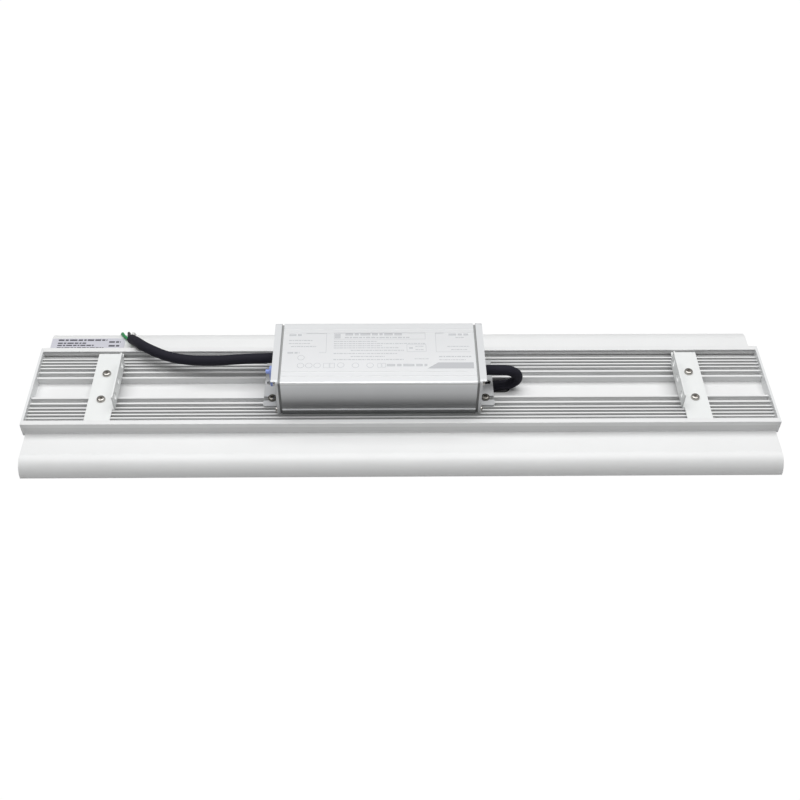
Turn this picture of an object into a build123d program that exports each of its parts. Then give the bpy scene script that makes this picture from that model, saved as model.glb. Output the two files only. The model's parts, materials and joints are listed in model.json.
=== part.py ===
from build123d import *
import math
import os

# Linear high bay light, lying with its light side down on the lower edges of its wings.
# X runs along the light, Y across it away from the viewer, Z up. Millimetres.
# The origin is the middle of the footprint, on the surface that the light stands on.

# Whole light
LENGTH = 600.0
CAP_THICKNESS = 2.0
CAP_CORNER = 1.0

# Section of the extruded heat sink
BODY_WIDTH = 86.0
WING_RADIUS = 13.0
WING_FLAT = 21.0
WING_THICKNESS = 2.2
WING_LIP = 0.6
BASE_THICKNESS = 3.3
FIN_HEIGHT = 6.4
RAIL_RISE = 3.5
RAIL_WIDTH = 4.6
EDGE_ROUND = 0.5
CHANNEL_WIDTH = 20.6
CHANNEL_WALL = 1.8
SLOT_FIN = 1.7
SLOT_TO_FINS = 3.3
THIN_FIN = 1.3
FIN_PITCH = 3.6
FIN_COUNT = 4

# Grooves and screw ports in the inner faces of the rails
GROOVE_HEIGHT = 1.0
GROOVE_DEPTH = 2.4
GROOVE_DROP = 1.1
PORT_DIAMETER = 3.0
PORT_MOUTH = 1.4
PORT_DROP = 5.7
PORT_INSET = 2.5

# Countersunk screws of the end caps
CAP_SCREW_HEAD = 5.4
CAP_SCREW_HEAD_HEIGHT = 1.5
CAP_SCREW_LENGTH = 10.0
PORT_SCREW_CLEARANCE = 0.2
HOLE_CLEARANCE = 0.4

# Button-head screws that hold the brackets and the driver in the screw slots
MOUNT_SCREW = 4.2
MOUNT_SCREW_HEAD = 7.0
MOUNT_SCREW_HEAD_HEIGHT = 2.2
MOUNT_SCREW_ROUND = 1.5
MOUNT_SCREW_SOCKET = 2.9
MOUNT_SCREW_SOCKET_DEPTH = 1.2
SLOT_CLEARANCE = 0.15
SLOT_FLOOR_CLEARANCE = 0.8

# Hanging brackets
BRACKET_END_INSET = 73.8
BRACKET_OFFSET = -2.2
BRACKET_DEPTH = 23.3
BRACKET_HEIGHT = 15.3
BRACKET_THICKNESS = 1.2
BRACKET_BEND = 1.0
BRACKET_SIDE_CLEARANCE = 0.4
BRACKET_CORNER = 1.0
BRACKET_SCREW_SETBACK = 13.2
FLANGE_WIDTH = 50.0
FLANGE_SETBACK = 2.8
HANGING_HOLE = 6.0
HANGING_PITCH = 17.5
HANGING_HEIGHT = 9.0

# LED driver: extruded case between two die-cast end plates
DRIVER_LENGTH = 167.5
DRIVER_OFFSET = -18.55
CASE_WIDTH = 67.4
CASE_HEIGHT = 36.4
CASE_WALL = 2.2
CASE_ROUND = 1.2
CASE_TOP_GROOVES = (6.8, 11.6)
CASE_GROOVE_WIDTH = 0.8
CASE_GROOVE_DEPTH = 0.3
CASE_FOOT_HEIGHT = 5.6
CASE_FOOT_INSET = 0.7
CASE_RIB_HEIGHT = 0.9
CASE_RIB_REACH = 0.35
PLATE_THICKNESS = 2.2
PLATE_OVERHANG = 0.8
PLATE_CORNER = 3.6
PLATE_ROUND = 0.5
HOOD_REACH = 3.2
HOOD_THICKNESS = 1.2
HOOD_SETBACK = 2.0
GASKET_THICKNESS = 1.8
GASKET_INSET = 0.8

# Screws of the driver's end plates
PLATE_SCREW = 2.6
PLATE_SCREW_HEAD = 4.6
PLATE_SCREW_HEAD_HEIGHT = 1.7
PLATE_SCREW_ROUND = 0.7
PLATE_SCREW_BITE = 8.0
PLATE_SCREW_INSET = 3.9
PLATE_SCREW_FOOT_INSET = 3.1
PLATE_SCREW_CROSS = 2.6
PLATE_SCREW_CROSS_WIDTH = 0.7
PLATE_SCREW_CROSS_DEPTH = 0.9
BOSS_WALL = 1.5

# Mounting ears, cast in one with the end plates
EAR_LENGTH = 9.0
EAR_WIDTH = 51.0
EAR_THICKNESS = 1.8
EAR_CORNER = 1.5
EAR_SLOT_PITCH = 35.0
EAR_SLOT_REACH = 2.0
EAR_SLOT_CLEARANCE = 0.2
EAR_HOLE_REACH = 4.2
EAR_HOLE_LENGTH = 6.5
EAR_HOLE_WIDTH = 4.2

# Silicone plug over the two adjusters in the left end plate
PLUG_OFFSET = -11.7
PLUG_FOOT = 11.8
PLUG_HEIGHT = 20.0
PLUG_WIDTH = 8.0
PLUG_THICKNESS = 2.7
PLUG_ROUND = 0.6
PLUG_STEM = 5.0
PLUG_STEM_LENGTH = 4.0
PLUG_STEM_PITCH = 10.2
PLUG_NUB = 3.5
PLUG_NUB_REACH = 5.9
PLUG_BOSS = 7.4
PLUG_FIT = 0.1

# Cables of the driver
INPUT_CABLE = 8.4
OUTPUT_CABLE = 8.4
CABLE_FIT = 0.1
EXIT_HEIGHT = 15.9
INPUT_EXIT_OFFSET = 14.5
BUSHING_WALL = 1.5
BUSHING_COLLAR = 1.0
BUSHING_COLLAR_HEIGHT = 0.6
CORE_DIAMETER = 2.5
CORE_CIRCLE = 1.5
LEAD_DIAMETER = 1.6
LEAD_PITCH = 3.4
LEAD_REACH = 5.6
RUN_SHARE = 0.45

# Input cable from the left end of the potting, over the rear rail, to its stripped end.
# The first figure of each point is its reach from that end.
INPUT_ROUTE = (
    (0.0, 17.725, 37.0),
    (23.0, 17.725, 37.0),
    (62.9, 16.6, 34.2),
    (92.9, 21.3, 33.0),
    (115.4, 33.0, 34.0),
    (126.7, 47.8, 27.0),
    (133.2, 58.8, 18.9),
)

# Ways of the three cores beyond the sheath, over the rounded edge of the rear wing
CORE_LEAD = 4.5
CORE_ANGLES = (0.0, 120.0, -120.0)
CORE_RUNS = (
    ((137.6, 67.4, 15.6), (139.4, 74.4, 12.2), (140.6, 78.7, 5.2)),
    ((134.6, 67.0, 15.2), (135.4, 74.3, 12.0), (135.8, 78.6, 4.8)),
    ((141.8, 66.4, 15.3), (144.8, 74.0, 12.2), (147.0, 78.5, 5.0)),
)

# Output cable from the right end of the potting, round its tight loop, down to the entry slot.
# The first figure of each point is its reach from that end.
OUTPUT_ROUTE = (
    (0.0, 3.225, 37.0),
    (15.0, 3.225, 37.0),
    (29.0, 3.2, 36.6),
    (36.1, 3.4, 31.4),
    (36.1, 3.8, 24.6),
    (30.0, 4.3, 19.0),
    (18.8, 4.6, 16.9),
    (9.2, 4.7, 16.0),
)

# Entry slot for the output cable in the floor of the channel
ENTRY_START = -2.0
ENTRY_END = 31.0
ENTRY_WIDTH = 10.6
ENTRY_OFFSET = 4.6
ENTRY_LINER = 0.8

# Light side: two LED boards under one moulded lens cover
BOARD_THICKNESS = 1.6
BOARD_GAP = 3.0
BOARD_CLEARANCE = 1.5
LED_SIZE = 3.0
LED_HEIGHT = 0.8
LED_COLUMNS = 12
LED_ROW_INSIDE = 15.5
LED_ROW_OUTSIDE = 11.5
LINK_LENGTH = 14.0
LINK_WIDTH = 5.0
LINK_HEIGHT = 0.9
LINK_OFFSET = 12.5
SOLDER_DIAMETER = 3.0
SOLDER_HEIGHT = 0.7
COVER_MARGIN = 3.0
COVER_SIDE_MARGIN = 2.0
COVER_THICKNESS = 2.0
COVER_RIM = 3.0
COVER_CORNER = 4.0
COVER_CLEARANCE = 0.4
COVER_GASKET = 0.8
LENS_HALF_WIDTH = 6.5
LENS_DEPTH = 1.8
COVER_SCREW = 2.9
COVER_SCREW_HEAD = 6.0
COVER_SCREW_HEAD_HEIGHT = 1.9
COVER_SCREW_BITE = 4.0
COVER_SCREW_COLUMNS = 6
COVER_SCREW_END_INSET = 15.0
COVER_BOSS = 7.0

# Heights of the section above the surface
WING_TOP = WING_LIP + WING_RADIUS
UNDERSIDE = WING_TOP - WING_THICKNESS
FLOOR = UNDERSIDE + BASE_THICKNESS
FIN_TOP = FLOOR + FIN_HEIGHT
RAIL_TOP = FIN_TOP + RAIL_RISE
PORT_HEIGHT = RAIL_TOP - PORT_DROP

# Places across the section
RAIL_OUTER = BODY_WIDTH / 2
RAIL_INNER = RAIL_OUTER - RAIL_WIDTH
PORT_Y = RAIL_OUTER - PORT_INSET
WING_CENTRE = RAIL_OUTER + WING_FLAT
WALL_OUTER = CHANNEL_WIDTH / 2 + CHANNEL_WALL
SCREW_SLOT = MOUNT_SCREW + SLOT_CLEARANCE
SLOT_Y = WALL_OUTER + SCREW_SLOT / 2
SLOT_OUTER = WALL_OUTER + SCREW_SLOT
FIRST_FIN = SLOT_OUTER + SLOT_FIN + SLOT_TO_FINS

# Places along the light
EXTRUSION_END = LENGTH / 2 - CAP_THICKNESS
BRACKET_FACE = LENGTH / 2 - BRACKET_END_INSET
PORT_SCREW = PORT_DIAMETER - PORT_SCREW_CLEARANCE

# Driver, drawn about its own middle: one ear slot stands over a screw slot of the heat sink
DRIVER_Y = EAR_SLOT_PITCH / 2 - SLOT_Y
DRIVER_END = DRIVER_LENGTH / 2
PLATE_FACE = DRIVER_END - HOOD_REACH
PLATE_INNER = PLATE_FACE - PLATE_THICKNESS
CASE_END = PLATE_INNER - GASKET_THICKNESS
PLATE_WIDTH = CASE_WIDTH + 2 * PLATE_OVERHANG
PLATE_HEIGHT = CASE_HEIGHT + PLATE_OVERHANG
EXIT_Z = FIN_TOP + EXIT_HEIGHT
PLUG_Y = DRIVER_Y + PLUG_OFFSET
PLUG_Z = FIN_TOP + PLUG_FOOT + PLUG_HEIGHT / 2
INPUT_Y = DRIVER_Y + INPUT_EXIT_OFFSET

# Light side, downwards from the underside of the heat sink
BOARD_FACE = UNDERSIDE - BOARD_THICKNESS
COVER_CEILING = BOARD_FACE - LED_HEIGHT - COVER_CLEARANCE
COVER_FACE = COVER_CEILING - COVER_THICKNESS
COVER_END = EXTRUSION_END - COVER_MARGIN
COVER_WIDTH = 2 * (WING_CENTRE - COVER_SIDE_MARGIN)
COVER_SCREW_PITCH = 2 * (COVER_END - COVER_SCREW_END_INSET) / (COVER_SCREW_COLUMNS - 1)
LED_ROW_REACHES = (PORT_Y - LED_ROW_INSIDE, PORT_Y + LED_ROW_OUTSIDE)
LED_ROWS = (0.0, *LED_ROW_REACHES, *(-reach for reach in LED_ROW_REACHES))
BOARD_END = COVER_END - COVER_RIM - BOARD_CLEARANCE
BOARD_WIDTH = COVER_WIDTH - 2 * COVER_RIM - 2 * BOARD_CLEARANCE
BOARD_LENGTH = BOARD_END - BOARD_GAP / 2
BOARD_X = BOARD_GAP / 2 + BOARD_LENGTH / 2


def strip(y0, y1, z0, z1):
    """Rectangle of a cross-section between two widths and two heights."""
    return Pos((y0 + y1) / 2, (z0 + z1) / 2) * Rectangle(y1 - y0, z1 - z0)


def along_x(section, start, end):
    """Cross-section pushed along the light between two places."""
    return extrude(Plane.YZ.offset(start) * section, amount=end - start)


def upright(section, bottom, top):
    """Plan outline pushed upwards between two heights."""
    return extrude(Plane.XY.offset(bottom) * section, amount=top - bottom)


def rod(diameter, start, end, y, z):
    """Round bar along the light."""
    return along_x(Pos(y, z) * Circle(diameter / 2), start, end)


def at_end(shape, side, centre=0.0):
    """Piece drawn for the right-hand end, set there or mirrored to the left-hand end."""
    placed = shape if side > 0 else mirror(shape, Plane.YZ)
    return Pos(centre, 0, 0) * placed


def both_sides(half):
    """Half of a cross-section joined to its mirror image."""
    return half + mirror(half, Plane.YZ)


def cable(name, points, diameter):
    """Round cable of straight runs joined by arcs that touch them."""
    corners = [Vector(*point) for point in points]
    radii = []
    for before, corner, after in zip(corners, corners[1:], corners[2:]):
        half_turn = math.radians((corner - before).get_angle(after - corner)) / 2
        shorter = min((corner - before).length, (after - corner).length)
        radii.append(RUN_SHARE * shorter / math.tan(half_turn))
    path = FilletPolyline(*corners, radius=radii)
    section = Plane(origin=path @ 0, z_dir=path % 0) * Circle(diameter / 2)
    tube = sweep(section, path=path)
    expected = math.pi * diameter**2 / 4 * path.length
    print(name, "length", round(path.length, 1), "radii", [round(r, 1) for r in radii])
    print(name, "volume over section times length", round(tube.volume / expected, 4))
    return tube


def port_places():
    """The four screw ports in the ends of the rails, as offsets across the light."""
    return (-PORT_Y, PORT_Y)


def cover_screw_places():
    """Screws of the lens cover, under the two rails."""
    return GridLocations(COVER_SCREW_PITCH, 2 * PORT_Y, COVER_SCREW_COLUMNS, 2)


def heat_sink_section():
    """Half of the extrusion: base, fins, rail and the wing with its rounded edge."""
    half = strip(0, RAIL_OUTER, UNDERSIDE, FLOOR)
    rail = strip(RAIL_INNER, RAIL_OUTER, UNDERSIDE, RAIL_TOP)
    tops = rail.vertices().filter_by(lambda corner: corner.Y > RAIL_TOP - EDGE_ROUND)
    half += fillet(tops, EDGE_ROUND)
    half += strip(RAIL_OUTER, WING_CENTRE, UNDERSIDE, WING_TOP)
    bend = Circle(WING_RADIUS) - Circle(WING_RADIUS - WING_THICKNESS)
    quarter = Pos(WING_RADIUS / 2, WING_RADIUS / 2) * Rectangle(WING_RADIUS, WING_RADIUS)
    half += Pos(WING_CENTRE, WING_LIP) * (bend & quarter)
    edge = WING_CENTRE + WING_RADIUS
    half += strip(edge - WING_THICKNESS, edge, 0, WING_LIP)
    half += strip(CHANNEL_WIDTH / 2, WALL_OUTER, FLOOR, FIN_TOP)
    half += strip(SLOT_OUTER, SLOT_OUTER + SLOT_FIN, FLOOR, FIN_TOP)
    for index in range(FIN_COUNT):
        fin = FIRST_FIN + index * FIN_PITCH
        half += strip(fin, fin + THIN_FIN, FLOOR, FIN_TOP)
    groove_top = RAIL_TOP - GROOVE_DROP
    half -= strip(RAIL_INNER, RAIL_INNER + GROOVE_DEPTH, groove_top - GROOVE_HEIGHT, groove_top)
    half -= Pos(PORT_Y, PORT_HEIGHT) * Circle(PORT_DIAMETER / 2)
    mouth = PORT_MOUTH / 2
    half -= strip(RAIL_INNER, PORT_Y, PORT_HEIGHT - mouth, PORT_HEIGHT + mouth)
    return half


def routed(route, side):
    """Points of a route whose first figures are reaches from one end of the potting."""
    return [(DRIVER_OFFSET + side * (CASE_END + reach), y, z) for reach, y, z in route]


def entry_outline(inset):
    """Plan outline of the cable entry in the channel floor, drawn in by an inset."""
    length = ENTRY_END - ENTRY_START - 2 * inset
    middle = DRIVER_OFFSET + CASE_END + (ENTRY_START + ENTRY_END) / 2
    return Pos(middle, ENTRY_OFFSET) * SlotOverall(length, ENTRY_WIDTH - 2 * inset)


def heat_sink():
    """Extruded aluminium body with the cable entry and the holes of the cover screws."""
    body = along_x(both_sides(heat_sink_section()), -EXTRUSION_END, EXTRUSION_END)
    body -= upright(entry_outline(0), UNDERSIDE, FLOOR)
    bore = upright(Circle(COVER_SCREW / 2 + CABLE_FIT / 2), UNDERSIDE, UNDERSIDE + COVER_SCREW_BITE + HOLE_CLEARANCE)
    return body - [place * bore for place in cover_screw_places()]


def end_cap(side):
    """Flat cover over one end of the body, countersunk for its two screws."""
    outline = strip(-RAIL_OUTER, RAIL_OUTER, UNDERSIDE, RAIL_TOP)
    outline = fillet(outline.vertices(), CAP_CORNER)
    cap = along_x(outline, EXTRUSION_END, LENGTH / 2)
    for y in port_places():
        cap -= countersunk(y, HOLE_CLEARANCE / 2)
    return at_end(cap, side)


def countersunk(y, clearance):
    """Countersunk screw along X, flush with the end of the light, or the hole for it."""
    tip = CAP_SCREW_LENGTH
    shank = PORT_SCREW / 2 + clearance
    head = CAP_SCREW_HEAD / 2 + clearance
    outline = Polyline(
        (0, 0),
        (head, 0),
        (shank, -CAP_SCREW_HEAD_HEIGHT),
        (shank, -tip),
        (0, -tip),
        close=True,
    )
    screw = revolve(Plane.XZ * make_face(outline), Axis.Z)
    return Pos(LENGTH / 2, y, PORT_HEIGHT) * (Rot(0, 90, 0) * screw)


def end_cap_screws():
    """Four countersunk screws in the ports of the rails."""
    socket = RegularPolygon(1.0, 6)
    screws = []
    for side in (-1, 1):
        for y in port_places():
            recess = along_x(Pos(y, PORT_HEIGHT) * socket, LENGTH / 2 - 1, LENGTH / 2)
            screws.append(at_end(countersunk(y, 0) - recess, side))
    return Part() + screws


def button_screw(x, y, seat):
    """Button-head screw standing in a screw slot of the heat sink."""
    head = Pos(x, y, seat) * Cylinder(
        MOUNT_SCREW_HEAD / 2, MOUNT_SCREW_HEAD_HEIGHT, align=(Align.CENTER, Align.CENTER, Align.MIN)
    )
    head = fillet(head.edges().group_by(Axis.Z)[-1], MOUNT_SCREW_ROUND)
    tip = FLOOR + SLOT_FLOOR_CLEARANCE
    shank = Pos(x, y) * upright(Circle(MOUNT_SCREW / 2), tip, seat)
    top = seat + MOUNT_SCREW_HEAD_HEIGHT
    socket = Pos(x, y) * upright(RegularPolygon(MOUNT_SCREW_SOCKET / 2, 6), top - MOUNT_SCREW_SOCKET_DEPTH, top)
    return head + shank - socket


def bracket(side):
    """Bent sheet bracket: a foot across the fins and a flange with three hanging holes."""
    face = BRACKET_FACE
    bottom = FIN_TOP
    wall = BRACKET_THICKNESS
    outer = BRACKET_BEND + wall
    angle = Polyline(
        (face, bottom),
        (face + BRACKET_DEPTH, bottom),
        (face + BRACKET_DEPTH, bottom + wall),
        (face + wall, bottom + wall),
        (face + wall, bottom + BRACKET_HEIGHT),
        (face, bottom + BRACKET_HEIGHT),
        close=True,
    )
    profile = make_face(angle)
    inner_corner = profile.vertices().sort_by_distance((face + wall, bottom + wall, 0))[0]
    profile = fillet(inner_corner, BRACKET_BEND)
    outer_corner = profile.vertices().sort_by_distance((face, bottom, 0))[0]
    profile = fillet(outer_corner, outer)
    folded = extrude(Plane.XZ * profile, amount=FLANGE_WIDTH / 2, both=True)
    half_width = RAIL_INNER - BRACKET_SIDE_CLEARANCE
    foot_start = face + FLANGE_SETBACK
    foot_depth = BRACKET_DEPTH - FLANGE_SETBACK
    foot = Pos(foot_start + foot_depth / 2, 0) * Rectangle(foot_depth, 2 * half_width)
    foot = fillet(foot.vertices(), BRACKET_CORNER)
    sheet = folded + upright(foot, bottom, bottom + wall)
    for step in (-1, 0, 1):
        sheet -= rod(HANGING_HOLE, face, face + wall, step * HANGING_PITCH, bottom + HANGING_HEIGHT)
    hole = upright(Circle((MOUNT_SCREW + EAR_SLOT_CLEARANCE) / 2), bottom, bottom + wall)
    for y in (-SLOT_Y, SLOT_Y):
        sheet -= Pos(face + BRACKET_SCREW_SETBACK, y) * hole
    return at_end(sheet, side, BRACKET_OFFSET)


def bracket_screws():
    """Two screws through the foot of each bracket."""
    x = BRACKET_FACE + BRACKET_SCREW_SETBACK
    screws = []
    for side in (-1, 1):
        for y in (-SLOT_Y, SLOT_Y):
            screws.append(at_end(button_screw(x, y, FIN_TOP + BRACKET_THICKNESS), side, BRACKET_OFFSET))
    return Part() + screws


def plate_screw_places():
    """The four corner screws of an end plate, as places across and above."""
    reach = PLATE_WIDTH / 2 - PLATE_SCREW_INSET
    top = FIN_TOP + PLATE_HEIGHT - PLATE_SCREW_INSET
    foot = FIN_TOP + PLATE_SCREW_FOOT_INSET
    return [(DRIVER_Y + sign * reach, height) for sign in (-1, 1) for height in (foot, top)]


def case_outline(inset):
    """Outer outline of the driver case: stepped foot, side ribs and rounded top edges."""
    half = CASE_WIDTH / 2 - inset
    step = FIN_TOP + CASE_FOOT_HEIGHT
    top = FIN_TOP + CASE_HEIGHT
    upper = strip(-half, half, step - inset, top - inset)
    corners = upper.vertices().filter_by(lambda corner: corner.Y > step)
    upper = fillet(corners, CASE_ROUND)
    foot = strip(CASE_FOOT_INSET - half, half - CASE_FOOT_INSET, FIN_TOP + inset, step)
    return Pos(DRIVER_Y, 0) * (upper + foot)


def case_hollow():
    """Inside of the case, up to its walls and around its four screw bosses."""
    half = CASE_WIDTH / 2 - CASE_FOOT_INSET - CASE_WALL
    hollow = strip(-half, half, FIN_TOP + CASE_WALL, FIN_TOP + CASE_HEIGHT - CASE_WALL)
    hollow = Pos(DRIVER_Y, 0) * hollow
    for y, z in plate_screw_places():
        hollow -= Pos(y, z) * Circle(PLATE_SCREW / 2 + BOSS_WALL)
    return hollow


def driver_case():
    """Extruded case of the driver with grooves along its top and ribs along its sides."""
    section = case_outline(0) - case_hollow()
    rib_top = FIN_TOP + CASE_FOOT_HEIGHT + CASE_RIB_HEIGHT
    reach = CASE_WIDTH / 2 + CASE_RIB_REACH
    rib = strip(CASE_WIDTH / 2 - CASE_WALL / 2, reach, FIN_TOP + CASE_FOOT_HEIGHT, rib_top)
    section += Pos(DRIVER_Y, 0) * both_sides(rib)
    top = FIN_TOP + CASE_HEIGHT
    for inset in CASE_TOP_GROOVES:
        start = CASE_WIDTH / 2 - inset - CASE_GROOVE_WIDTH
        groove = strip(start, start + CASE_GROOVE_WIDTH, top - CASE_GROOVE_DEPTH, top)
        section -= Pos(DRIVER_Y, 0) * both_sides(groove)
    case = along_x(section, -CASE_END, CASE_END)
    for y, z in plate_screw_places():
        for side in (-1, 1):
            depth = PLATE_SCREW_BITE + HOLE_CLEARANCE
            case -= at_end(rod(PLATE_SCREW + PLUG_FIT, CASE_END - depth, CASE_END, y, z), side)
    return Pos(DRIVER_OFFSET, 0, 0) * case


def driver_potting():
    """Potted electronics that fill the case."""
    return Pos(DRIVER_OFFSET, 0, 0) * along_x(case_hollow(), -CASE_END, CASE_END)


def driver_gasket(side):
    """Flat seal between the case and an end plate."""
    ring = case_outline(GASKET_INSET) - case_hollow()
    for y, z in plate_screw_places():
        ring -= Pos(y, z) * Circle((PLATE_SCREW + HOLE_CLEARANCE) / 2)
    return at_end(along_x(ring, CASE_END, PLATE_INNER), side, DRIVER_OFFSET)


def ear():
    """Mounting ear: two open slots and a closed slot between them."""
    reach = DRIVER_END + EAR_LENGTH
    outline = Pos((PLATE_INNER + reach) / 2, DRIVER_Y) * Rectangle(reach - PLATE_INNER, EAR_WIDTH)
    corners = outline.vertices().filter_by(lambda corner: corner.X > DRIVER_END)
    outline = fillet(corners, EAR_CORNER)
    slot_x = DRIVER_END + EAR_SLOT_REACH
    slot = MOUNT_SCREW + EAR_SLOT_CLEARANCE
    for sign in (-1, 1):
        y = DRIVER_Y + sign * EAR_SLOT_PITCH / 2
        outline -= Pos(slot_x, y) * Circle(slot / 2)
        outline -= Pos((slot_x + reach) / 2, y) * Rectangle(reach - slot_x, slot)
    outline -= Pos(DRIVER_END + EAR_HOLE_REACH, DRIVER_Y) * SlotOverall(EAR_HOLE_LENGTH, EAR_HOLE_WIDTH)
    return upright(outline, FIN_TOP, FIN_TOP + EAR_THICKNESS)


def end_plate(side, exit_y, cable_diameter):
    """Die-cast end plate of the driver with its ear, its hood over the screws and its cable exit."""
    top = FIN_TOP + PLATE_HEIGHT
    face = strip(-PLATE_WIDTH / 2, PLATE_WIDTH / 2, FIN_TOP, top)
    face = fillet(face.vertices(), PLATE_CORNER)
    hood_half = PLATE_WIDTH / 2 - HOOD_SETBACK
    hood = Pos(DRIVER_Y, 0) * (face & strip(-hood_half, hood_half, top - HOOD_THICKNESS, top))
    plate = along_x(Pos(DRIVER_Y, 0) * face, PLATE_INNER, PLATE_FACE)
    plate = fillet(plate.edges().group_by(Axis.X)[-1], PLATE_ROUND)
    plate += along_x(hood, PLATE_INNER, DRIVER_END)
    plate += ear()
    for y, z in plate_screw_places():
        plate -= rod(PLATE_SCREW + HOLE_CLEARANCE, PLATE_INNER, PLATE_FACE, y, z)
    bushing = cable_diameter + 2 * BUSHING_WALL + CABLE_FIT
    plate -= rod(bushing, PLATE_INNER, PLATE_FACE, exit_y, EXIT_Z)
    if side < 0:
        for z in plug_stem_heights():
            plate += rod(PLUG_BOSS, PLATE_FACE, DRIVER_END, PLUG_Y, z)
            plate -= rod(PLUG_STEM + PLUG_FIT, PLATE_INNER, DRIVER_END, PLUG_Y, z)
    return at_end(plate, side, DRIVER_OFFSET)


def plug_stem_heights():
    """Heights of the two adjusters behind the plug."""
    return (PLUG_Z - PLUG_STEM_PITCH / 2, PLUG_Z + PLUG_STEM_PITCH / 2)


def adjuster_plug():
    """Silicone pad with a pull nub outside and a stem in each adjuster hole."""
    pad_end = DRIVER_END + PLUG_THICKNESS
    pad = Pos(PLUG_Y, PLUG_Z) * (Rot(0, 0, 90) * SlotOverall(PLUG_HEIGHT, PLUG_WIDTH))
    plug = along_x(pad, DRIVER_END, pad_end)
    plug = fillet(plug.edges().group_by(Axis.X)[-1], PLUG_ROUND)
    for z in plug_stem_heights():
        plug += rod(PLUG_STEM, DRIVER_END - PLUG_STEM_LENGTH, pad_end, PLUG_Y, z)
    nub = rod(PLUG_NUB, DRIVER_END, DRIVER_END + PLUG_NUB_REACH, PLUG_Y, PLUG_Z + PLUG_STEM_PITCH / 2)
    nub = fillet(nub.edges().group_by(Axis.X)[-1], PLUG_ROUND)
    return at_end(plug + nub, -1, DRIVER_OFFSET)


def cable_bushing(side, y, cable_diameter):
    """Rubber bushing round a cable in its end plate, with a low collar outside."""
    outer = cable_diameter + 2 * BUSHING_WALL
    collar_end = PLATE_FACE + BUSHING_COLLAR_HEIGHT
    bushing = rod(outer, PLATE_INNER, PLATE_FACE, y, EXIT_Z)
    bushing += rod(outer + 2 * BUSHING_COLLAR, PLATE_FACE, collar_end, y, EXIT_Z)
    bushing -= rod(cable_diameter + CABLE_FIT, PLATE_INNER, collar_end, y, EXIT_Z)
    return at_end(bushing, side, DRIVER_OFFSET)


def pan_screw(y, z):
    """Pan-head screw of an end plate with a cross recess."""
    head_end = PLATE_FACE + PLATE_SCREW_HEAD_HEIGHT
    head = rod(PLATE_SCREW_HEAD, PLATE_FACE, head_end, y, z)
    head = fillet(head.edges().group_by(Axis.X)[-1], PLATE_SCREW_ROUND)
    shank = rod(PLATE_SCREW, CASE_END - PLATE_SCREW_BITE, PLATE_FACE, y, z)
    bar = Rectangle(PLATE_SCREW_CROSS, PLATE_SCREW_CROSS_WIDTH)
    cross = Pos(y, z) * (bar + Rot(0, 0, 90) * bar)
    return head + shank - along_x(cross, head_end - PLATE_SCREW_CROSS_DEPTH, head_end)


def driver_end_screws():
    """Eight screws that hold the end plates on the case."""
    screws = []
    for side in (-1, 1):
        for y, z in plate_screw_places():
            screws.append(at_end(pan_screw(y, z), side, DRIVER_OFFSET))
    return Part() + screws


def driver_mounting_screws():
    """One screw through the front slot of each ear."""
    x = DRIVER_END + EAR_SLOT_REACH
    seat = FIN_TOP + EAR_THICKNESS
    return Part() + [at_end(button_screw(x, -SLOT_Y, seat), side, DRIVER_OFFSET) for side in (-1, 1)]


def sheath_end(points):
    """Direction of a cable at its last point, and the flat end face of its sheath there."""
    before, last = Vector(*points[-2]), Vector(*points[-1])
    ahead = (last - before).normalized()
    return ahead, Plane(origin=last, x_dir=(0, 0, 1), z_dir=ahead)


def input_core(index, name):
    """One stripped core, straight out of the sheath and down behind the wing."""
    ahead, face = sheath_end(routed(INPUT_ROUTE, -1))
    angle = math.radians(CORE_ANGLES[index])
    start = face.from_local_coords((CORE_CIRCLE * math.cos(angle), CORE_CIRCLE * math.sin(angle), 0))
    points = [tuple(start), tuple(start + ahead * CORE_LEAD), *routed(CORE_RUNS[index], -1)]
    return cable(name, points, CORE_DIAMETER)


def lead_bends():
    """Start of each lead at the sheath of the output cable, and the place where it turns down."""
    ahead, face = sheath_end(routed(OUTPUT_ROUTE, 1))
    starts = [face.from_local_coords((0, sign * LEAD_PITCH / 2, 0)) for sign in (-1, 1)]
    return [(start, start + ahead * LEAD_REACH) for start in starts]


def output_leads():
    """Two leads from the end of the output cable down through the right LED board."""
    bottom = BOARD_FACE - SOLDER_HEIGHT
    leads = []
    for start, bend in lead_bends():
        points = [tuple(start), tuple(bend), (bend.X, bend.Y, bottom)]
        leads.append(cable("output_lead", points, LEAD_DIAMETER))
    return Part() + leads


def lead_places():
    """Where the two leads pass the LED board."""
    return [(bend.X, bend.Y) for _, bend in lead_bends()]


def solder_joints():
    """Solder round each lead where it ends under the LED board."""
    bore = upright(Circle(LEAD_DIAMETER / 2), BOARD_FACE - SOLDER_HEIGHT, BOARD_FACE)
    cone = Pos(0, 0, BOARD_FACE - SOLDER_HEIGHT / 2) * Cone(
        LEAD_DIAMETER / 2 + 0.3, SOLDER_DIAMETER / 2, SOLDER_HEIGHT
    )
    return Part() + [Pos(x, y) * (cone - bore) for x, y in lead_places()]


def entry_grommet():
    """Rubber liner of the cable entry in the channel floor."""
    return upright(entry_outline(0) - entry_outline(ENTRY_LINER), UNDERSIDE, FLOOR)


def led_board(side):
    """LED board with clearance holes for the cover screws and, on the right, for the leads."""
    board = upright(Pos(side * BOARD_X, 0) * Rectangle(BOARD_LENGTH, BOARD_WIDTH), BOARD_FACE, UNDERSIDE)
    hole = upright(Circle((COVER_SCREW + HOLE_CLEARANCE) / 2), BOARD_FACE, UNDERSIDE)
    board -= [place * hole for place in cover_screw_places() if place.position.X * side > 0]
    if side > 0:
        lead_hole = upright(Circle((LEAD_DIAMETER + CABLE_FIT) / 2), BOARD_FACE, UNDERSIDE)
        board -= [Pos(x, y) * lead_hole for x, y in lead_places()]
    return board


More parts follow.
